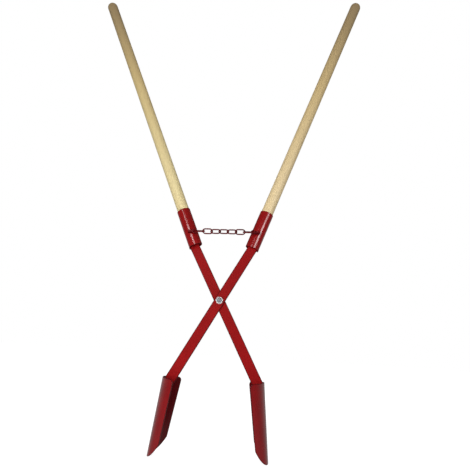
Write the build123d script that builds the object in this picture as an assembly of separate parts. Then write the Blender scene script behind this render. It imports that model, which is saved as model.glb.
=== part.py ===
from build123d import *
import math
import os

# Post hole digger: two crossed steel levers with wooden handles, joined by one pivot bolt,
# and a short chain that stops the handles from spreading too far. It is drawn fully open.
# Millimetres. +X right and +Z up as seen from the front, +Y to the back.
# The origin is the pivot, midway between the two flat bars. Left and right are as seen from the front.

# ---- flat bars, crossing at the pivot ----
BAR_WIDTH = 30.0
BAR_THICK = 6.0
BAR_GAP = 0.4              # running gap between the two bars
BAR_LEAN = 28.6            # from vertical, with the tool open
BAR_REACH = 328.0          # pivot to the lower end, inside the blade
BAR_IN_SOCKET = 40.0       # length of bar inside the tube
BAR_OFF_AXIS = 2.9         # the bar lies towards the outer side of the tube
BAR_EDGE_R = 0.8           # rolled edges of the flat bar

# ---- sockets and handles ----
SOCKET_R = 21.2            # 42.4 mm tube
SOCKET_WALL = 2.0
SOCKET_EDGE_R = 0.7        # rounded edges of both mouths
SOCKET_LENGTH = 126.3
SOCKET_Z = 166.3           # height of the tube's lower mouth above the pivot
HANDLE_R = 19.0
HANDLE_START = 46.0        # lower end of the wood above the tube's mouth
TENON_R = 18.6             # the wood is turned down where it enters the tube
SHOULDER_GAP = 1.0         # the full thickness starts this far above the tube
HANDLE_DOME = 14.0         # radius of the rounded top edge
HANDLE_CHAMFER = 2.0
# The two tubes are welded on at slightly different angles, and one handle is a little shorter:
# (mouth x, lean from vertical, length of wood above the tube).
RIGHT_SOCKET = (88.9, 19.8, 950.5)
LEFT_SOCKET = (86.8, 23.5, 944.5)

# ---- blades ----
BLADE_THICK = 3.0
BLADE_RADIUS_TOP = 87.6    # the plate is rolled to a cone: outer radius at the top
BLADE_RADIUS_LOW = 61.3    # and at the lower end of the long edges
BLADE_DEPTH_TOP = 41.9     # spine to edge, at the top
BLADE_DEPTH_LOW = 34.3     # spine to edge, at the lower end of the edges
BLADE_EDGE = 158.5         # length of the straight edges
BLADE_SPINE = 197.9        # length down the spine, to the tip
BLADE_CORNER = 10.0        # rounded upper corners
BLADE_LOW_CORNER = 14.0    # rounded lower corners
BLADE_EDGE_R = 0.8         # rounded edges of the plate
BLADE_Z = -217.8           # height of the blade's top
TIP_CURVE = 3.3            # how full the lower outline is: 2 is a parabola, more is fuller
# (distance of the spine's top from the middle, splay from vertical)
LEFT_BLADE = (143.2, 5.75)
RIGHT_BLADE = (140.8, 4.85)

# ---- pivot: M12 bolt, two washers, self-locking nut ----
BOLT_R = 6.0
PIVOT_CLEARANCE = 0.05
WASHER_R = 10.0            # narrow M12 washer
WASHER_BORE_R = 6.5
WASHER_THICK = 2.0
WASHER_GAP = 0.3           # between each washer and its bar
HEX_ACROSS_FLATS = 19.0
HEAD_HEIGHT = 7.5
NUT_HEX_HEIGHT = 8.5
NUT_HEIGHT = 12.0
NUT_COLLAR_R = 8.8
INSERT_R = 7.6
INSERT_THICK = 2.4
BOLT_PROUD = 2.5           # thread showing past the nut

# ---- chain ----
WIRE_R = 2.0
LINK_SPACING = 25.1
LINK_GAP = 0.3             # between neighbouring links
LINK_ARC_R = 8.8           # centre-line radius of each end
LINK_COUNT = 7
LINK_ROLLS = (115.0, 53.0, -30.0, 68.0, -30.0, 53.0, 115.0)    # turn of each link about the chain's line
END_LINK_SHIFT = 0.7       # the two end links stand this much further in
CHAIN_Y = -30.4
CHAIN_Z = 208.4
CHAIN_TILT = 1.5           # the right end hangs a little higher
LUG_RING_R = 5.5
LUG_WIRE_R = 2.25
LUG_PAD = (15.0, 6.5)      # width and height of the pad on the tube
LUG_PAD_SKIN = 0.6         # the pad stands this much proud of the ring's wire

# ---- screws and welds ----
SCREW_R = 2.0
SCREW_HEAD_R = 4.5
SCREW_HEAD_HEIGHT = 2.6
SCREW_DEPTH = 19.0         # from the tube's surface into the wood
SCREW_HEIGHT = 92.0        # above the tube's mouth
SCREW_SLOT = (1.1, 5.4, 1.5)   # width, length and depth of each arm of the cross recess
SOCKET_WELD_R = 5.0
BLADE_WELD_R = 6.5
BLADE_WELD_LENGTH = 72.0
LUG_WELD_R = 1.8

BAR_MID_Y = -(BAR_GAP + BAR_THICK) / 2
LINK_LENGTH = LINK_SPACING + 2 * WIRE_R + LINK_GAP      # centre line, end to end
BASE = (Align.CENTER, Align.CENTER, Align.MIN)
TO_FRONT = Location((0, 0, 0), (90, 0, 0))              # local +Z points to the front
CHAIN_LINE = Location((0, CHAIN_Y, CHAIN_Z), (0, -CHAIN_TILT, 0))    # local X runs along the chain


def polar(lean, length):
    """A point on the XZ plane at this length along a line that leans this much from +Z to +X."""
    return Vector(math.sin(math.radians(lean)), math.cos(math.radians(lean))) * length


def strip(start, end, width):
    """A straight strip of this width between two points of the XZ plane."""
    along = (end - start).normalized()
    side = Vector(-along.Y, along.X) * (width / 2)
    return make_face(Polyline(start + side, end + side, end - side, start - side, close=True))


def flat(sketch, thick, y_mid):
    """Thicken a sketch drawn on X and Z into a plate centred on y_mid."""
    return extrude(Plane.XZ.offset(-y_mid - thick / 2) * sketch, thick)


# ---- frames of the front lever, whose handle is on the right and whose blade is on the left ----
def socket_frame(socket):
    """Origin at the tube's lower mouth, +Z up the tube, +X to its outer side."""
    return Location((socket[0], 0, SOCKET_Z), (0, socket[1], 0))


def blade_frame(blade):
    """Origin at the top of the blade's spine, -Z down the spine, +X into its hollow side."""
    return Location((-blade[0], 0, BLADE_Z), (0, blade[1], 0))


def bar_bend(socket):
    """Where the straight bar meets the line that it follows inside the tube."""
    x_line = socket[0] + BAR_OFF_AXIS / math.cos(math.radians(socket[1]))
    t_bar = math.tan(math.radians(BAR_LEAN))
    t_socket = math.tan(math.radians(socket[1]))
    z = (x_line - SOCKET_Z * t_socket) / (t_bar - t_socket)
    return Vector(z * t_bar, z)


# ---- parts of one lever, drawn for the front lever ----
def make_socket(socket):
    tube = Cylinder(SOCKET_R, SOCKET_LENGTH, align=BASE)
    tube -= Cylinder(SOCKET_R - SOCKET_WALL, SOCKET_LENGTH, align=BASE)
    tube = fillet(tube.edges().filter_by(GeomType.CIRCLE), SOCKET_EDGE_R)
    return socket_frame(socket) * tube


def make_handle(socket):
    tenon_length = SOCKET_LENGTH - HANDLE_START + SHOULDER_GAP
    tenon = Cylinder(TENON_R, tenon_length, align=BASE)
    tenon = chamfer(tenon.edges().sort_by(Axis.Z)[0], HANDLE_CHAMFER)
    pole = Cylinder(HANDLE_R, socket[2] - SHOULDER_GAP, align=BASE)
    pole = fillet(pole.edges().sort_by(Axis.Z)[-1], HANDLE_DOME)
    return socket_frame(socket) * Pos(0, 0, HANDLE_START) * (tenon + Pos(0, 0, tenon_length) * pole)


def make_screw(socket, back):
    """A round-headed cross-recess screw through the back of the tube; back is +1 or -1 along Y."""
    shank = Cylinder(SCREW_R, SCREW_DEPTH, align=BASE)
    head = Pos(0, 0, SCREW_DEPTH - 1) * Cylinder(SCREW_HEAD_R, SCREW_HEAD_HEIGHT + 1, align=BASE)
    head = fillet(head.edges().sort_by(Axis.Z)[-1], SCREW_HEAD_HEIGHT - 0.4)
    top = Pos(0, 0, SCREW_DEPTH + SCREW_HEAD_HEIGHT)
    slot = Box(*SCREW_SLOT, align=(Align.CENTER, Align.CENTER, Align.MAX))
    head -= top * (slot + Rot(0, 0, 90) * slot)
    inward = Location((0, back * (SOCKET_R - SCREW_DEPTH), SCREW_HEIGHT), (-90 * back, 0, 0))
    head = inward * head - Cylinder(SOCKET_R, SOCKET_LENGTH, align=BASE)
    return socket_frame(socket) * (inward * shank + head)


def make_bar(socket, blade):
    bend = bar_bend(socket)
    top = bend + polar(socket[1], BAR_IN_SOCKET + (SOCKET_Z - bend.Y) / math.cos(math.radians(socket[1])))
    outline = strip(polar(BAR_LEAN, -BAR_REACH), bend, BAR_WIDTH)
    outline += strip(bend, top, BAR_WIDTH)
    outline += Pos(bend.X, bend.Y) * Circle(BAR_WIDTH / 2)
    bar = flat(outline, BAR_THICK, BAR_MID_Y)
    bar = fillet(bar.faces().filter_by(Axis.Y).edges(), BAR_EDGE_R)
    bar -= TO_FRONT * Cylinder(BOLT_R + PIVOT_CLEARANCE, 4 * BAR_THICK)
    outside = Box(200, 60, 800, align=(Align.MAX, Align.CENTER, Align.CENTER))
    return bar - blade_frame(blade) * Pos(BLADE_THICK + 0.5, 0, 0) * outside


def blade_cone(inset):
    """The cone that the blade is rolled to, inset from its outer face, with its spine line on -Z."""
    grow = (BLADE_RADIUS_LOW - BLADE_RADIUS_TOP) / BLADE_EDGE
    above = 20.0
    below = BLADE_SPINE + 20.0
    r_top = BLADE_RADIUS_TOP - grow * above
    r_low = BLADE_RADIUS_TOP + grow * below
    cone = Cone(r_low - inset, r_top - inset, above + below, align=BASE)
    upright = Pos(BLADE_RADIUS_TOP, 0, -below) * cone
    return Rot(0, -math.degrees(math.atan(grow)), 0) * upright


def blade_outline():
    """Side view of the blade: X from spine to edge, Y upwards."""
    half_arc = math.acos(1 - BLADE_DEPTH_LOW / BLADE_RADIUS_LOW)
    curve = []
    for share in (1.0, 0.85, 0.7, 0.5, 0.3, 0.12):
        drop = BLADE_SPINE - (BLADE_SPINE - BLADE_EDGE) * share ** TIP_CURVE
        curve.append((BLADE_RADIUS_LOW * (1 - math.cos(share * half_arc)), -drop))
    lower = Spline(*curve, (0, -BLADE_SPINE))
    rest = Polyline(
        (0, -BLADE_SPINE), (-10, -BLADE_SPINE), (-10, 0), (BLADE_DEPTH_TOP, 0), (BLADE_DEPTH_LOW, -BLADE_EDGE)
    )
    outline = make_face(lower + rest)
    low_corner = outline.vertices().sort_by_distance((BLADE_DEPTH_LOW, -BLADE_EDGE, 0))[0]
    outline = fillet(low_corner, BLADE_LOW_CORNER)
    corner = outline.vertices().sort_by_distance((BLADE_DEPTH_TOP, 0, 0))[0]
    return fillet(corner, BLADE_CORNER)


def make_blade(blade):
    shell = blade_cone(0) - blade_cone(BLADE_THICK)
    shell &= flat(blade_outline(), 2 * BLADE_RADIUS_TOP, 0)
    rims = shell.faces().filter_by(GeomType.CONE).edges()
    shell = fillet(rims, BLADE_EDGE_R)
    return blade_frame(blade) * shell


def make_socket_weld(socket, bar):
    bead = Pos(SOCKET_R - SOCKET_WELD_R + 0.6, BAR_MID_Y, 0) * Sphere(SOCKET_WELD_R)
    bead -= Cylinder(SOCKET_R, SOCKET_LENGTH, align=BASE)
    return socket_frame(socket) * bead - bar


def make_blade_weld(blade, bar):
    run = Pos(BLADE_THICK + 0.5, BAR_MID_Y, -3) * Cylinder(
        BLADE_WELD_R, BLADE_WELD_LENGTH, align=(Align.CENTER, Align.CENTER, Align.MAX)
    )
    run &= blade_cone(BLADE_THICK)
    return blade_frame(blade) * run - bar


# ---- chain ----
def link_x(index):
    """Middle of link 1 to 7, counted from the left."""
    step = index - (LINK_COUNT + 1) / 2
    end = {1: END_LINK_SHIFT, LINK_COUNT: -END_LINK_SHIFT}.get(index, 0.0)
    return step * LINK_SPACING + end


def make_link(index):
    half = LINK_LENGTH / 2 - LINK_ARC_R
    wire = None
    for side in (1, -1):
        arc = Location((side * half, 0, 0), (90, 0, 0)) * Rot(0, 0, -90 * side)
        arc = arc * Torus(LINK_ARC_R, WIRE_R, major_angle=180, align=None)
        rod = Pos(0, 0, side * LINK_ARC_R) * Rot(0, 90, 0) * Cylinder(WIRE_R, 2 * half)
        wire = arc + rod if wire is None else wire + arc + rod
    return CHAIN_LINE * Location((link_x(index), 0, 0), (LINK_ROLLS[index - 1], 0, 0)) * wire


def lug_x():
    """Distance of the lug's ring from the middle."""
    end_of_link = link_x(LINK_COUNT) + LINK_LENGTH / 2
    return end_of_link - (WIRE_R + LUG_WIRE_R + LINK_GAP) + LUG_RING_R


def lug_pad_run(socket, side):
    """Length along the chain's line, from the middle to the pad on the tube's front."""
    lean, tilt = math.radians(socket[1]), math.radians(side * CHAIN_TILT)
    across = socket[0] + (CHAIN_Z - SOCKET_Z) * math.tan(lean)
    return across * math.cos(lean) / math.cos(lean + tilt)


def tube_solid(socket, side):
    """The tube and its bore as one solid, to shape what is welded on it."""
    frame = Location((side * socket[0], 0, SOCKET_Z), (0, side * socket[1], 0))
    return frame * Cylinder(SOCKET_R, SOCKET_LENGTH, align=BASE)


def make_lug(socket, side):
    """Eye for the end of the chain, welded on the front of a tube; side is +1 right or -1 left."""
    ring = Pos(side * lug_x(), 0, 0) * TO_FRONT * Torus(LUG_RING_R, LUG_WIRE_R)
    near, far = lug_x() + LUG_RING_R, lug_pad_run(socket, side)
    tail = Pos(side * (near + far) / 2, 0, 0) * Rot(0, 90, 0) * Cylinder(LUG_WIRE_R, far - near)
    pad = Pos(side * far, -LUG_WIRE_R - LUG_PAD_SKIN, 0) * Box(
        LUG_PAD[0], -CHAIN_Y, LUG_PAD[1], align=(Align.CENTER, Align.MIN, Align.CENTER)
    )
    pad = fillet(pad.edges().filter_by(Axis.X).sort_by(Axis.Y)[:2], 2.0)
    return CHAIN_LINE * (ring + tail + pad) - tube_solid(socket, side)


def make_lug_weld(socket, side, lug):
    """Beads along the top and bottom of the lug's pad."""
    beads = []
    for above in (1, -1):
        height = above * LUG_PAD[1] / 2
        place = Pos(side * lug_pad_run(socket, side), 0.6 - SOCKET_R - CHAIN_Y, height)
        bead = CHAIN_LINE * place * Rot(0, 90, 0) * Cylinder(LUG_WELD_R, LUG_PAD[0] - 5.0)
        beads.append(bead - tube_solid(socket, side) - lug)
    return beads[0] + beads[1]


# ---- pivot ----
def hexagon(height, chamfered_top):
    """A hexagonal head or nut with its corners taken off at one end, or at both."""
    corner_r = HEX_ACROSS_FLATS / math.sqrt(3)
    prism = extrude(RegularPolygon(corner_r, 6), height)
    bevel = Cylinder(corner_r, height, align=BASE)
    ends = bevel.edges().filter_by(GeomType.CIRCLE).sort_by(Axis.Z)
    bevel = chamfer([ends[-1]] if chamfered_top else [ends[0], ends[-1]], 0.6, 1.1)
    return prism & bevel


def make_pivot():
    """Bolt, washers, nut and its nylon ring; local +Z runs from the bolt's head to its end."""
    bar_face = BAR_GAP / 2 + BAR_THICK
    washer_low = bar_face + WASHER_GAP
    seat = washer_low + WASHER_THICK
    washer = Cylinder(WASHER_R, WASHER_THICK, align=BASE)
    washer -= Cylinder(WASHER_BORE_R, WASHER_THICK, align=BASE)
    washer = chamfer(washer.edges().filter_by(GeomType.CIRCLE).sort_by(Axis.Z)[-1:], 0.3)

    length = 2 * seat + NUT_HEIGHT + BOLT_PROUD
    bolt = Pos(0, 0, -seat) * Cylinder(BOLT_R, length, align=BASE)
    bolt = chamfer(bolt.edges().sort_by(Axis.Z)[-1], 1.0)
    bolt += Pos(0, 0, -seat) * Rot(180, 0, 0) * hexagon(HEAD_HEIGHT, True)

    nut = hexagon(NUT_HEX_HEIGHT, False)
    collar = Cylinder(NUT_COLLAR_R, NUT_HEIGHT, align=BASE)
    nut += fillet(collar.edges().sort_by(Axis.Z)[-1], 1.2)
    recess = NUT_HEIGHT - INSERT_THICK - 0.6
    nut -= Pos(0, 0, recess) * Cylinder(INSERT_R, NUT_HEIGHT, align=BASE)
    nut -= Cylinder(BOLT_R, NUT_HEIGHT, align=BASE)
    insert = Cylinder(INSERT_R, INSERT_THICK, align=BASE) - Cylinder(BOLT_R, INSERT_THICK, align=BASE)

    return {
        "pivot_bolt": TO_FRONT * bolt,
        "pivot_nut": TO_FRONT * Pos(0, 0, seat) * nut,
        "nut_insert": TO_FRONT * Pos(0, 0, seat + recess) * insert,
        "front_washer": TO_FRONT * Pos(0, 0, washer_low) * washer,
        "rear_washer": TO_FRONT * Rot(180, 0, 0) * Pos(0, 0, washer_low) * washer,
    }


# ---- the two levers ----
def make_lever(socket, blade, handle_side, blade_side, bar_name, back):
    """All the parts of one lever, drawn with its handle on the right; back is the side of its screw."""
    bar = make_bar(socket, blade)
    screw = make_screw(socket, back)
    return {
        bar_name: bar,
        handle_side + "_socket": make_socket(socket) - screw,
        handle_side + "_handle": make_handle(socket) - screw,
        handle_side + "_handle_screw": screw,
        handle_side + "_socket_weld": make_socket_weld(socket, bar),
        blade_side + "_blade": make_blade(blade),
        blade_side + "_blade_weld": make_blade_weld(blade, bar),
    }


def make_parts():
    nodes = make_lever(RIGHT_SOCKET, LEFT_BLADE, "right", "left", "front_bar", 1)
    half_turn = Rot(0, 0, 180)
    rear = make_lever(LEFT_SOCKET, RIGHT_BLADE, "left", "right", "rear_bar", -1)
    nodes.update({name: half_turn * shape for name, shape in rear.items()})

    for name, socket, side in (("right", RIGHT_SOCKET, 1), ("left", LEFT_SOCKET, -1)):
        lug = make_lug(socket, side)
        nodes[name + "_chain_lug"] = lug
        nodes[name + "_lug_weld"] = make_lug_weld(socket, side, lug)

    nodes.update(make_pivot())
    for index in range(1, LINK_COUNT + 1):
        nodes["chain_link_" + str(index)] = make_link(index)
    return nodes


os.makedirs("parts", exist_ok=True)
for node, solid in make_parts().items():
    export_step(solid, "parts/" + node + ".step")
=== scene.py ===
import math
import random

import bpy
from mathutils import Matrix, Vector


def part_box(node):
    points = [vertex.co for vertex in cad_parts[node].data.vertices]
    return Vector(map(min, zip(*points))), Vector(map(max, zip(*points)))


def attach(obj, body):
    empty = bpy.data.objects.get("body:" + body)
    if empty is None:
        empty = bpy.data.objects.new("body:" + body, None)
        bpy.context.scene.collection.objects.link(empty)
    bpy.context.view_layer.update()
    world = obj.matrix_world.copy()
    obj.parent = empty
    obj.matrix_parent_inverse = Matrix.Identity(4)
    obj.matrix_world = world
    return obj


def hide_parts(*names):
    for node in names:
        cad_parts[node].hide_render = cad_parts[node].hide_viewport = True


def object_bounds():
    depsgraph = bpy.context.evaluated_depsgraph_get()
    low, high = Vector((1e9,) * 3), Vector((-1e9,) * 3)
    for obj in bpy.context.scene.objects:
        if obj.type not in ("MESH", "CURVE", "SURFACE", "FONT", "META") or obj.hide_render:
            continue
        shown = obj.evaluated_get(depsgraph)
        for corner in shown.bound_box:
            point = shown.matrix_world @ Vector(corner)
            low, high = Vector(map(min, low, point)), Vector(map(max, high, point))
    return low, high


# Post hole digger. Metres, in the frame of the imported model: origin at the pivot, +Z up,
# the chain and the nut on the front (-Y). Left and right are as seen from the front.

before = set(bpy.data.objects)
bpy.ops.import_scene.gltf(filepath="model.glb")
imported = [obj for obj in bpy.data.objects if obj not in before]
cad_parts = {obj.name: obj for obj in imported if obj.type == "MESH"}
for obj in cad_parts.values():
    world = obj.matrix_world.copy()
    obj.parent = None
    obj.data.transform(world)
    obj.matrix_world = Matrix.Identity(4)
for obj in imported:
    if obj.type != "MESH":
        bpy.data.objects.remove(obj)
CAD_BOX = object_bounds()
random.seed(7)

MM = 0.001
MICRON = 0.000001
X_WAY, Y_WAY = Vector((1, 0, 0)), Vector((0, 1, 0))

# ---- measures that the pieces share with the model ----
SOCKET_LEAN = {"right": 19.8, "left": -23.5}         # degrees from vertical, towards +X
SOCKET_MOUTH_X = {"right": 0.0889, "left": -0.0868}
SOCKET_MOUTH_Z = 0.1663
BAR_LEAN = {"front_bar": 28.6, "rear_bar": -28.6}    # degrees from vertical, towards +X
BAR_HALF = 15 * MM

BOLT_R = 6 * MM
BOLT_SHANK_Y = -8.5 * MM            # the thread runs from here to the front
THREAD_PITCH = 1.75 * MM
THREAD_DEPTH = 0.9 * MM
THREAD_CHAMFER = 1 * MM
HEX_ACROSS = 19 * MM
HEAD_Y = 8.5 * MM                   # the head runs from here to the back
HEAD_CHAMFER = 1.3 * MM             # of the head's rear edge, along Y
HEAD_CHAMFER_SLOPE = 1.1
HEAD_REAR_R = HEX_ACROSS / 2 + 0.8 * MM

LINK_WIRE_R = 2 * MM
LINK_ARC_R = 8.8 * MM
LINK_LENGTH = 29.4 * MM             # centre line, end to end
CHAIN_TILT = 1.5                    # degrees, right end up
LINK_ROLLS = (115, 53, -30, 68, -30, 53, 115)    # turn of each link about the chain's line

# ---- detail that only this scene has ----
BUTT_WELD = 0.10                    # swelling of a link's wire at its weld, as a share
BUTT_WELD_HALF = 1.3 * MM
BUTT_NECK = 0.5                     # dip beside the swelling, as a share of it
BUTT_NECK_X = 2.8 * MM
BUTT_NECK_HALF = 0.9 * MM

BEAD_STEP = 0.5 * MM                # between the rings of a weld bead
BEAD_RIPPLE = 0.07
BEAD_WANDER = 0.04
BEAD_LAG = 0.35                     # how far a ripple's sides trail, in radii
BEAD_PITCH = 2.1 * MM
LUG_BEAD_PITCH = 1.5 * MM
LUG_BEAD_R = 1.7 * MM
SOCKET_BEAD_R = 2.6 * MM
SOCKET_BEAD_INSET = 3.2 * MM        # of its centre line, from the outer side
BLADE_BEAD_FIT = 0.97               # share of the radius that the model's bead has
BLADE_BEAD_TOP_INSET = 5.6 * MM     # of its centre line, from the near side
BLADE_BEAD_FOOT_INSET = 1.8 * MM    # and from the far side

LINK_STEPS, WIRE_SIDES, BEAD_SIDES, BOLT_SIDES = 22, 20, 16, 96
THREAD_STEPS, HEAD_STEPS = 12, 6
CREASE = math.radians(38)           # corners sharper than this stay crisp

# ---- colours, linear ----
WOOD_PALE = {"left": (0.84, 0.725, 0.37), "right": (0.86, 0.68, 0.39)}
WOOD_LATE = (0.66, 0.50, 0.25)
WOOD_WARM = (0.75, 0.58, 0.31)
# painted shade: the wood goes to these darker, browner colours up the handle, where less light
# falls
WOOD_FALLOFF_SHADE = (0.68, 0.485, 0.195)
WOOD_FIBRE = (0.54, 0.40, 0.20)
WOOD_PORE = (0.30, 0.18, 0.08)
WOOD_TOP_SHADE = (0.41, 0.29, 0.15)
WOOD_SEEDS = {"left": 1.0, "right": 2.6}

# thick enamel, enamel in its clouds and sags, and a dark tone for thin enamel and for painted shade
RED_TONES = (0.305, 0.0050, 0.0060), (0.24, 0.0045, 0.0050), (0.06, 0.002, 0.003)
BLADE_TONES = (0.275, 0.006, 0.008), (0.21, 0.005, 0.007), (0.06, 0.002, 0.004)
CHAIN_TONES = (0.15, 0.004, 0.006), (0.10, 0.003, 0.005), (0.05, 0.002, 0.003)
EDGE_BAND = 3.2 * MM                # enamel is darkened this far from an edge: thin enamel and painted shade
RIM_DARKEST = 0.6 * MM                 # and darkest this near to a bar's long edge, as painted shade
THIN_GLOSS, THIN_COAT, THIN_ROUGH = 0.06, 0.04, 0.6
INSIDE_PAINTED_SHADE = 0.70                 # how far a blade's hollow inside goes to the dark thin tone: painted shade

# bluish crystals, yellowish crystals, dull spots
PLATE_TONES = (0.86, 0.88, 0.92), (0.95, 0.93, 0.88), (0.60, 0.61, 0.62)
DULL_PLATE_TONES = (0.30, 0.33, 0.38), (0.40, 0.39, 0.37), (0.16, 0.165, 0.17)
PLATE_WORN_EDGE = 0.6 * MM

NYLON_DEEP, NYLON_PALE = (0.13, 0.18, 0.24), (0.22, 0.26, 0.31)


# ---------------------------------------------------------------- node materials
class Nodes:
    """The node tree of a new material or world, with short calls for the nodes that it needs."""

    def __init__(self, owner, shader="Principled BSDF"):
        self.owner = owner
        self.owner.use_nodes = True
        self.tree = self.owner.node_tree
        self.shader = self.tree.nodes[shader]

    def add(self, kind, **inputs):
        node = self.tree.nodes.new(kind)
        for key, value in inputs.items():
            self.put(node, key.replace("_", " "), value)
        return node

    def put(self, node, key, value):
        socket = node.inputs[key]
        if isinstance(value, bpy.types.NodeSocket):
            self.tree.links.new(value, socket)
        else:
            socket.default_value = value

    def coordinates(self, kind):
        return self.add("ShaderNodeTexCoord").outputs[kind]

    def split(self, vector):
        return self.add("ShaderNodeSeparateXYZ", Vector=vector).outputs

    def place(self, rotation=(0, 0, 0), offset=(0, 0, 0), scale=(1, 1, 1), source=None):
        """Coordinates in metres on the part, or those given, turned, moved and stretched."""
        node = self.add("ShaderNodeMapping", Vector=source or self.coordinates("Object"))
        node.inputs["Rotation"].default_value = rotation
        node.inputs["Location"].default_value = offset
        node.inputs["Scale"].default_value = scale
        return node.outputs[0]

    def noise(self, where, scale, detail=3.0, roughness=0.5):
        node = self.add("ShaderNodeTexNoise", Vector=where, Scale=scale, Detail=detail)
        node.inputs["Roughness"].default_value = roughness
        return node.outputs[0]

    def span(self, value, low, high, to_low=0.0, to_high=1.0):
        """Map low..high to to_low..to_high, held at the ends."""
        node = self.add("ShaderNodeMapRange", Value=value)
        node.inputs["From Min"].default_value = low
        node.inputs["From Max"].default_value = high
        node.inputs["To Min"].default_value = to_low
        node.inputs["To Max"].default_value = to_high
        return node.outputs[0]

    def math(self, operation, first, second=0.0):
        node = self.add("ShaderNodeMath")
        node.operation = operation
        self.put(node, 0, first)
        self.put(node, 1, second)
        return node.outputs[0]

    def scaled(self, value, factor):
        return self.math("MULTIPLY", value, factor)

    def mix(self, share, first, second):
        node = self.add("ShaderNodeMix")
        node.data_type = "RGBA"
        node.blend_type = "MIX"
        self.put(node, 0, share)
        for index, value in ((6, first), (7, second)):
            if not isinstance(value, bpy.types.NodeSocket):
                value = (*value, 1.0)
            self.put(node, index, value)
        return node.outputs[2]

    def stain(self, color, tint, mask, share):
        """Colour with some of the tint in it where the mask is 1, up to the share."""
        return self.mix(self.scaled(mask, share), color, tint)

    def bump(self, height, distance, strength=1.0, below=None):
        node = self.add("ShaderNodeBump", Height=height, Distance=distance, Strength=strength)
        if below is not None:
            self.put(node, "Normal", below)
        return node.outputs[0]

    def edges(self, radius):
        """About 1 on edges that are rounded tighter than the radius, and 0 on plain faces."""
        bevel = self.add("ShaderNodeBevel", Radius=radius)
        bevel.samples = 6
        dot = self.add("ShaderNodeVectorMath")
        dot.operation = "DOT_PRODUCT"
        self.put(dot, 0, bevel.outputs[0])
        self.put(dot, 1, self.add("ShaderNodeNewGeometry").outputs["True Normal"])
        return self.span(dot.outputs["Value"], 0.999, 0.96)

    def finish(self, color, roughness, normal, **fixed):
        self.put(self.shader, "Base Color", color)
        self.put(self.shader, "Roughness", roughness)
        self.put(self.shader, "Normal", normal)
        for key, value in fixed.items():
            self.shader.inputs[key.replace("_", " ")].default_value = value
        return self.owner


def enamel(name, tones, seed, thin_and_shade_share, gloss, smoothest, lean=None, hollow=0):
    """Enamel on steel: slightly cloudy, with orange peel, dark and dull on edges, as thin enamel
    and painted shade.

    The edge share is how far edges go to the dark thin tone, partly thin enamel and partly painted
    shade. A flat bar's lean, in degrees, adds a band of painted shade down each of its long edges.
    Hollow is +1 or -1 for a blade, whose inside faces that way along X and gets painted shade.
    """
    thick, deep, thin = tones
    n = Nodes(bpy.data.materials.new(name))
    where = n.place(offset=(seed, seed, seed))
    clouds = n.noise(where, 14.0, detail=4.0, roughness=0.55)
    sags = n.noise(n.place(offset=(seed, 0, 0), scale=(1, 1, 0.12)), 75.0, detail=2.0)
    color = n.mix(n.span(clouds, 0.35, 0.68), thick, deep)
    color = n.stain(color, deep, n.span(sags, 0.5, 0.75), 0.22)
    # dark, dull edges: partly thin enamel, partly painted shade; on a bar, a band of painted shade
    # runs down each long edge
    edges = n.edges(EDGE_BAND)
    if lean is not None:
        across = n.split(n.place(rotation=(0, math.radians(-lean), 0)))["X"]
        rim_painted_shade = n.span(n.math("ABSOLUTE", across), BAR_HALF - EDGE_BAND, BAR_HALF - RIM_DARKEST)
        edges = n.math("MAXIMUM", edges, rim_painted_shade)
    color = n.stain(color, thin, edges, thin_and_shade_share)
    # painted shade: the hollow inside of a blade is darkened
    if hollow:
        facing = n.split(n.coordinates("Normal"))["X"]
        inside = n.span(n.scaled(facing, hollow), -0.1, 0.2)
        color = n.stain(color, thin, inside, INSIDE_PAINTED_SHADE)
    specks = n.span(n.noise(where, 2600.0, detail=1.0), 0.70, 0.78)
    color = n.stain(color, thin, specks, 0.35)
    smears = n.noise(where, 38.0, detail=4.0, roughness=0.6)
    rough = n.span(smears, 0.3, 0.75, smoothest, smoothest + 0.10)
    rough = n.math("MAXIMUM", rough, n.scaled(edges, THIN_ROUGH))
    peel = n.noise(where, 420.0, detail=2.0, roughness=0.4)
    waves = n.noise(where, 60.0, detail=1.0)
    normal = n.bump(peel, 3 * MICRON, below=n.bump(waves, 20 * MICRON))
    shine = n.span(edges, 0.0, 1.0, 0.5 * gloss, THIN_GLOSS)
    n.put(n.shader, "Specular IOR Level", shine)
    n.put(n.shader, "Coat Weight", n.span(edges, 0.0, 1.0, gloss, THIN_COAT))
    return n.finish(color, rough, normal, Coat_Roughness=smoothest, IOR=1.45)


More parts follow.
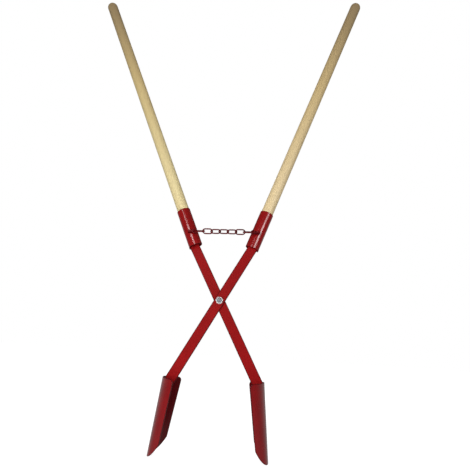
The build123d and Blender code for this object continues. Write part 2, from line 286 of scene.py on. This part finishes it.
def wood(name, side):
    """Pale turned wood: growth rings of a pole sawn off the pith, fibres and pores.

    It is painted darker and browner towards the top of the pole, as shade where less light reaches.
    """
    seed = WOOD_SEEDS[side]
    n = Nodes(bpy.data.materials.new(name))
    turn = Matrix.Rotation(-math.radians(SOCKET_LEAN[side]), 3, "Y")
    shift = turn @ Vector((SOCKET_MOUTH_X[side], 0, SOCKET_MOUTH_Z))
    pole = n.place(rotation=turn.to_euler(), offset=-shift)      # Z runs up it from the mouth

    def grain(stretch, offset=(0, 0, 0)):
        return n.place(source=pole, scale=(1, 1, stretch), offset=offset)

    drift = n.noise(grain(0.05, (seed, seed * 0.7, seed)), 28.0, detail=2.0)
    pith = grain(0.03, (0.031 + 0.004 * seed, 0.022, 0))
    rings = n.add("ShaderNodeTexWave", Vector=pith, Scale=80.0, Distortion=5.0, Detail=2.0)
    rings.wave_type = "RINGS"
    rings.rings_direction = "Z"
    rings.inputs["Detail Scale"].default_value = 26.0
    late = n.span(rings.outputs["Fac"], 0.35, 1.0)
    streaks = n.noise(grain(0.02, (0, seed, 2)), 330.0, detail=2.0, roughness=0.6)
    fibres = n.noise(grain(0.018), 1500.0, detail=3.0, roughness=0.6)
    pores = n.span(n.noise(grain(0.09, (seed, 3, 1)), 1100.0, detail=1.0), 0.66, 0.72)

    color = n.stain(WOOD_PALE[side], WOOD_LATE, late, 0.40)
    color = n.stain(color, WOOD_WARM, n.span(drift, 0.40, 0.66), 0.35)
    color = n.stain(color, WOOD_LATE, n.span(streaks, 0.48, 0.70), 0.45)
    color = n.stain(color, WOOD_FIBRE, n.span(fibres, 0.44, 0.72), 0.30)
    color = n.stain(color, WOOD_PORE, pores, 0.50)

    height = n.split(pole)["Z"]
    patchy = n.span(n.noise(pole, 9.0), 0.1, 0.9, 0.80, 1.0)
    # painted shade, deepening from the mouth of the socket to the top of the pole
    color = n.stain(color, WOOD_FALLOFF_SHADE, n.span(height, 0.25, 0.70, 0.0, 0.75), patchy)
    color = n.stain(color, WOOD_TOP_SHADE, n.span(height, 0.64, 1.05), patchy)

    rough = n.span(fibres, 0.3, 0.8, 0.42, 0.60)
    relief = n.math("ADD", n.scaled(fibres, 0.7), n.scaled(late, 0.5))
    relief = n.math("SUBTRACT", relief, n.scaled(pores, 0.9))
    normal = n.bump(relief, 90 * MICRON, 0.8)
    return n.finish(color, rough, normal, Coat_Weight=0.10, Coat_Roughness=0.32)


def zinc(name, tones, metallic):
    """Zinc plate: fine crystals, faint blue and yellow tints, dull spots and dull edges."""
    bluish, yellowish, dull = tones
    n = Nodes(bpy.data.materials.new(name))
    where = n.place()
    crystals = n.noise(where, 130.0)
    color = n.mix(n.span(crystals, 0.38, 0.62), bluish, yellowish)
    spots = n.span(n.noise(where, 420.0, detail=4.0, roughness=0.65), 0.45, 0.75)
    color = n.stain(color, dull, spots, 0.45)
    color = n.mix(n.edges(PLATE_WORN_EDGE), color, dull)
    rough = n.span(spots, 0.0, 1.0, 0.20, 0.46)
    lines = n.noise(n.place(scale=(1, 0.15, 1)), 2400.0, detail=2.0)
    return n.finish(color, rough, n.bump(lines, 20 * MICRON, 0.6), Metallic=metallic)


def nylon(name):
    """The blue-grey ring in the nut: moulded plastic, slightly see-through, scuffed."""
    n = Nodes(bpy.data.materials.new(name))
    where = n.place()
    color = n.mix(n.span(n.noise(where, 300.0), 0.35, 0.7), NYLON_DEEP, NYLON_PALE)
    rough = n.span(n.noise(where, 900.0, detail=2.0), 0.3, 0.7, 0.32, 0.52)
    normal = n.bump(n.noise(where, 1800.0, detail=2.0), 20 * MICRON, 0.7)
    return n.finish(color, rough, normal, Subsurface_Weight=0.12, Subsurface_Scale=0.6 * MM)


# the tubes and blades are glossy, and the bars satin
RED = enamel("red_enamel", RED_TONES, 0.0, 0.85, 0.50, 0.20)
BAR_RED = {node: enamel(node + "_enamel", RED_TONES, 1.0, 0.80, 0.06, 0.45, lean=lean)
           for node, lean in BAR_LEAN.items()}
BLADE_RED = {node: enamel(node + "_enamel", BLADE_TONES, 3.0, 0.80, 0.50, 0.20, hollow=way)
             for node, way in (("left_blade", 1), ("right_blade", -1))}
CHAIN_RED = enamel("chain_enamel", CHAIN_TONES, 5.0, 0.30, 0.10, 0.30)
ZINC = zinc("zinc_plate", PLATE_TONES, 0.25)
DULL_ZINC = zinc("dull_zinc", DULL_PLATE_TONES, 0.5)
NYLON = nylon("nylon_ring")
WOOD = {side: wood(side + "_handle_wood", side) for side in WOOD_SEEDS}


def material_of(node):
    if node.endswith("_handle"):
        return WOOD[node.split("_")[0]]
    if node in BLADE_RED:
        return BLADE_RED[node]
    if node in BAR_RED:
        return BAR_RED[node]
    if node.startswith("chain_link") or node.endswith("_lug"):
        return CHAIN_RED
    if node == "nut_insert":
        return NYLON
    if node.startswith("pivot") or "washer" in node or "screw" in node:
        return ZINC
    return RED


def dress_nodes():
    """Give every model node its material."""
    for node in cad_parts:
        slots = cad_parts[node].data.materials
        slots.clear()
        slots.append(material_of(node))


# ---------------------------------------------------------------- pieces
def piece(name, points, faces, material, body, node):
    """A smooth-shaded mesh with crisp corners, standing for a model node and riding on its body."""
    mesh = bpy.data.meshes.new(name)
    mesh.from_pydata(points, [], faces)
    mesh.validate()
    mesh.shade_smooth()
    mesh.set_sharp_from_angle(angle=CREASE)
    mesh.materials.append(material)
    made = bpy.data.objects.new(name, mesh)
    bpy.context.scene.collection.objects.link(made)
    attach(made, body)
    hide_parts(node)


def round_angles(sides):
    return [2 * math.pi * j / sides for j in range(sides)]


def ring_faces(start, rings, sides, closed=False):
    """Quads that join rings of points, with a face over both ends unless the run is closed."""
    faces = []
    for i in range(rings if closed else rings - 1):
        here, there = start + i * sides, start + (i + 1) % rings * sides
        for j in range(sides):
            k = (j + 1) % sides
            faces.append((here + j, here + k, there + k, there + j))
    if not closed:
        faces.append(tuple(start + j for j in reversed(range(sides))))
        faces.append(tuple(start + (rings - 1) * sides + j for j in range(sides)))
    return faces


def link_path():
    """Centre line of a link lying in XZ: pairs of a point and its outward direction."""
    half = LINK_LENGTH / 2 - LINK_ARC_R
    path = []
    for side in (1, -1):
        for i in range(LINK_STEPS + 1):
            angle = math.pi / 2 - math.pi * i / LINK_STEPS
            out = Vector((side * math.cos(angle), 0, side * math.sin(angle)))
            path.append((Vector((side * half, 0, 0)) + out * LINK_ARC_R, out))
        for i in range(1, LINK_STEPS):
            x = side * half * (1 - 2 * i / LINK_STEPS)
            path.append((Vector((x, 0, -side * LINK_ARC_R)), Vector((0, 0, -side))))
    return path


def wire_radius(spot):
    """Radius of a link's wire here: it swells at the weld, in the middle of the upper side."""
    weld = 0.0
    if spot.z > LINK_ARC_R * 0.99:
        weld = math.exp(-(spot.x / BUTT_WELD_HALF) ** 2)
        weld -= BUTT_NECK * math.exp(-((abs(spot.x) - BUTT_NECK_X) / BUTT_NECK_HALF) ** 2)
    return LINK_WIRE_R * (1 + BUTT_WELD * weld)


def chain_link(index):
    """A link of round wire, bent to a long ring and butt welded in the middle of one side."""
    node = "chain_link_" + str(index)
    low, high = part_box(node)
    centre = (low + high) / 2
    turn = Matrix.Rotation(-math.radians(CHAIN_TILT), 3, "Y")
    turn = turn @ Matrix.Rotation(math.radians(LINK_ROLLS[index - 1]), 3, "X")
    path = link_path()
    points = []
    for spot, out in path:
        radius = wire_radius(spot)
        for angle in round_angles(WIRE_SIDES):
            local = spot + (out * math.cos(angle) + Y_WAY * math.sin(angle)) * radius
            points.append(centre + turn @ local)
    faces = ring_faces(0, len(path), WIRE_SIDES, closed=True)
    piece("link_" + str(index), points, faces, CHAIN_RED, node, node)


def bead(points, faces, start, end, radius, side, pitch=BEAD_PITCH):
    """Add a weld bead from start to end: curved ripples, an uneven edge and domed ends."""
    along = (end - start).normalized()
    out = side.cross(along).normalized()
    length = (end - start).length + 2 * radius
    rings = max(24, round(length / BEAD_STEP))
    first = len(points)
    for i in range(rings):
        run = length * (i + 0.02) / (rings - 0.96)      # not quite from one end to the other
        inset = max(0.0, radius - run, run - (length - radius))
        dome = math.sqrt(max(0.02, 1 - (inset / radius) ** 2))
        ripple = 1 - BEAD_RIPPLE + BEAD_RIPPLE * abs(math.sin(math.pi * run / pitch))
        wander = 1 + BEAD_WANDER * (random.random() - 0.5)
        for angle in round_angles(BEAD_SIDES):
            lag = BEAD_LAG * radius * math.sin(angle) ** 2 * dome
            run_here = min(max(run - lag, radius * (1 - dome)), length)
            spot = start + along * (run_here - radius)
            arm = side * math.sin(angle) + out * math.cos(angle)
            points.append(spot + arm * radius * dome * ripple * wander)
    faces.extend(ring_faces(first, rings, BEAD_SIDES))


def blade_weld(side, hollow, body):
    """Two beads down the inside of a blade, one on each face of the bar.

    Hollow is +1 or -1, the way along X that the inside faces.
    """
    node = side + "_blade_weld"
    low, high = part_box(node)
    near, far = (high.x, low.x) if hollow > 0 else (low.x, high.x)
    middle, half = (low.y + high.y) / 2, (high.y - low.y) / 2
    radius = half / 2
    points, faces = [], []
    for face in (1, -1):
        y = middle + face * radius
        top = Vector((near - hollow * BLADE_BEAD_TOP_INSET, y, high.z - radius))
        foot = Vector((far + hollow * BLADE_BEAD_FOOT_INSET, y, low.z + radius))
        bead(points, faces, top, foot, radius * BLADE_BEAD_FIT, Y_WAY)
    piece(node + "_beads", points, faces, RED, body, node)


def socket_weld(side, outward, body):
    """A short bead round the bar's edge at the mouth of a tube; outward is +1 or -1 along X."""
    node = side + "_socket_weld"
    low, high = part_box(node)
    radius = SOCKET_BEAD_R
    x = (high.x if outward > 0 else low.x) - outward * SOCKET_BEAD_INSET
    z = (low.z + high.z) / 2
    points, faces = [], []
    start, end = Vector((x, low.y + radius, z)), Vector((x, high.y - radius, z))
    bead(points, faces, start, end, radius, X_WAY)
    piece(node + "_bead", points, faces, RED, body, node)


def lug_weld(side, body):
    """Beads above and below the pad of a chain lug."""
    node = side + "_lug_weld"
    low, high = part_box(node)
    radius = LUG_BEAD_R
    points, faces = [], []
    for z in (low.z + radius, high.z - radius):
        start = Vector((low.x + radius, low.y + radius, z))
        end = Vector((high.x - radius, start.y, z))
        bead(points, faces, start, end, radius, Y_WAY, LUG_BEAD_PITCH)
    piece(node + "_beads", points, faces, CHAIN_RED, body, node)


def bolt_radius(y, angle, front, back):
    """Radius of the bolt at this place along Y: thread in front, plain shank, hexagon head."""
    if y > HEAD_Y:
        hexagon = HEX_ACROSS / 2 / math.cos(angle % (math.pi / 3) - math.pi / 6)
        return min(hexagon, HEAD_REAR_R + (back - y) * HEAD_CHAMFER_SLOPE)
    if y > BOLT_SHANK_Y:
        return BOLT_R
    turns = (y / THREAD_PITCH + angle / (2 * math.pi)) % 1.0
    flank = 1.6 * abs(2 * turns - 1) - 0.25     # below 0 on the crest, above 1 in the root
    depth = THREAD_DEPTH * min(1.0, max(0.0, flank))
    return min(BOLT_R - depth, BOLT_R - THREAD_CHAMFER + (y - front))


def pivot_bolt():
    """M12 bolt along Y, made as one turned skin from its threaded end to the back of its head."""
    low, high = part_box("pivot_bolt")
    front, back = low.y, high.y
    step = THREAD_PITCH / THREAD_STEPS
    stops = [front + i * step for i in range(int((BOLT_SHANK_Y - front) / step) + 1)]
    stops += [BOLT_SHANK_Y + 0.2 * MM, HEAD_Y, HEAD_Y + 0.01 * MM, back - HEAD_CHAMFER]
    stops += [back - HEAD_CHAMFER * (HEAD_STEPS - 1 - i) / HEAD_STEPS for i in range(HEAD_STEPS)]
    points = []
    for y in stops:
        for angle in round_angles(BOLT_SIDES):
            radius = bolt_radius(y, angle, front, back)
            points.append(Vector((radius * math.cos(angle), y, radius * math.sin(angle))))
    faces = ring_faces(0, len(stops), BOLT_SIDES)
    piece("bolt_with_thread", points, faces, DULL_ZINC, "pivot", "pivot_bolt")


dress_nodes()
for number in range(1, len(LINK_ROLLS) + 1):
    chain_link(number)
blade_weld("left", 1, "front_lever")
blade_weld("right", -1, "rear_lever")
socket_weld("right", 1, "front_lever")
socket_weld("left", -1, "rear_lever")
lug_weld("right", "front_lever")
lug_weld("left", "rear_lever")
pivot_bolt()


# ---------------------------------------------------------------- floor, light and camera
FLOOR_HALF = 40.0
FLOOR_GAP = 0.5 * MM                # under the blades' tips
FLOOR_GREY = (0.32, 0.32, 0.32, 1.0)
FLOOR_GLOW = 0.93
WHITE = (1.0, 1.0, 1.0, 1.0)

FILL = 0.42                         # even light from all round
REFLECTED_FRONT = 0.03              # the studio as the enamel reflects it: dim in front,
REFLECTED_BACK = 0.36               # paler behind,
REFLECTED_HIGH = 0.20               # with this share of it left high up,
REFLECTED_LOW = 0.34                # and the floor
FRONT_TO_BACK = (-0.1, 0.75)        # headings, as Y, between which it goes from front to back
MIDDLE_TO_HIGH = (0.10, 0.30)       # slopes, as Z, between which it dims
FLOOR_TO_MIDDLE = (-0.26, -0.08)    # slopes between which the floor fades out

LEFT_TUBE, RIGHT_TUBE = (-0.12, 0.0, 0.22), (0.11, 0.0, 0.22)
HANDLE_ROOTS, BLADES = (0.0, 0.0, 0.15), (0.0, 0.0, -0.25)
LAMPS = (   # name, place, target, width, height, watts, whether it lights or shows in gloss
    ("key", (-0.15, -1.40, -0.05), HANDLE_ROOTS, 0.8, 0.8, 14.0, "diffuse"),
    ("low_left", (-0.95, -1.00, -0.45), BLADES, 0.6, 0.6, 3.5, "diffuse"),
    ("streak_left", (-0.36, -1.05, 0.48), LEFT_TUBE, 0.48, 0.11, 3.0, "glossy"),
    ("streak_right", (0.87, -1.05, 0.34), RIGHT_TUBE, 0.58, 0.26, 7.6, "glossy"),
    ("back", (0.5, 1.7, 0.3), HANDLE_ROOTS, 0.9, 0.9, 8.0, "diffuse"),
)

CAMERA_PLACE = (0.07769, -1.10468, -0.15019)
CAMERA_YAW, CAMERA_PITCH, CAMERA_ROLL = 2.28, 18.01, 3.54    # degrees
CAMERA_LENS, CAMERA_SENSOR = 28.206, 36.0                    # millimetres


def make_floor():
    """A pale matt floor that glows a little, so that it runs into the white background."""
    n = Nodes(bpy.data.materials.new("floor_white"))
    n.shader.inputs["Base Color"].default_value = FLOOR_GREY
    n.shader.inputs["Roughness"].default_value = 1.0
    n.shader.inputs["Emission Color"].default_value = WHITE
    n.shader.inputs["Emission Strength"].default_value = FLOOR_GLOW
    z = CAD_BOX[0].z - FLOOR_GAP
    mesh = bpy.data.meshes.new("floor")
    corners = [(x * FLOOR_HALF, y * FLOOR_HALF, z) for x, y in ((-1, -1), (1, -1), (1, 1), (-1, 1))]
    mesh.from_pydata(corners, [], [(0, 1, 2, 3)])
    mesh.materials.append(n.owner)
    floor = bpy.data.objects.new("floor", mesh)
    bpy.context.scene.collection.objects.link(floor)
    floor.visible_glossy = False
    floor.visible_diffuse = False


def make_world():
    """White behind the object; the enamel reflects a studio dim in front and high, pale behind."""
    n = Nodes(bpy.data.worlds.new("studio"), "Background")
    heading = n.split(n.coordinates("Generated"))
    around = n.span(heading["Y"], *FRONT_TO_BACK, REFLECTED_FRONT, REFLECTED_BACK)
    above = n.span(heading["Z"], *MIDDLE_TO_HIGH, 1.0, REFLECTED_HIGH)
    below = n.span(heading["Z"], *FLOOR_TO_MIDDLE, REFLECTED_LOW, 0.0)
    reflected = n.math("MAXIMUM", n.math("MULTIPLY", around, above), below)
    path = n.add("ShaderNodeLightPath")
    glossy, seen = path.outputs["Is Glossy Ray"], path.outputs["Is Camera Ray"]
    fill = n.scaled(n.math("SUBTRACT", 1.0, glossy), FILL)
    lit = n.math("ADD", n.math("MULTIPLY", glossy, reflected), fill)
    n.put(n.shader, "Color", WHITE)
    n.put(n.shader, "Strength", n.math("MAXIMUM", lit, seen))
    n.owner.cycles.sampling_method = "NONE"
    bpy.context.scene.world = n.owner


def soft_light(name, place, target, width, height, power, lights):
    """An area lamp that either lights ("diffuse") or shows only in reflections ("glossy")."""
    light = bpy.data.lights.new(name, "AREA")
    light.shape = "RECTANGLE"
    light.size, light.size_y = width, height
    light.energy = power
    lamp = bpy.data.objects.new(name, light)
    bpy.context.scene.collection.objects.link(lamp)
    lamp.location = place
    aim = Vector(target) - Vector(place)
    lamp.rotation_euler = aim.to_track_quat("-Z", "Y").to_euler()
    lamp.visible_camera = False
    lamp.visible_diffuse = lights == "diffuse"
    lamp.visible_glossy = lights == "glossy"


def make_camera():
    data = bpy.data.cameras.new("camera")
    data.sensor_width = CAMERA_SENSOR
    data.lens = CAMERA_LENS
    camera = bpy.data.objects.new("camera", data)
    bpy.context.scene.collection.objects.link(camera)
    turn = Matrix.Rotation(math.radians(CAMERA_YAW), 4, "Z")
    turn = turn @ Matrix.Rotation(math.pi / 2 + math.radians(CAMERA_PITCH), 4, "X")
    turn = turn @ Matrix.Rotation(math.radians(CAMERA_ROLL), 4, "Z")
    camera.matrix_world = Matrix.Translation(CAMERA_PLACE) @ turn
    bpy.context.scene.camera = camera


make_floor()
make_world()
for lamp_row in LAMPS:
    soft_light(*lamp_row)
make_camera()
bpy.context.scene.view_settings.view_transform = "Standard"

bpy.context.view_layer.update()
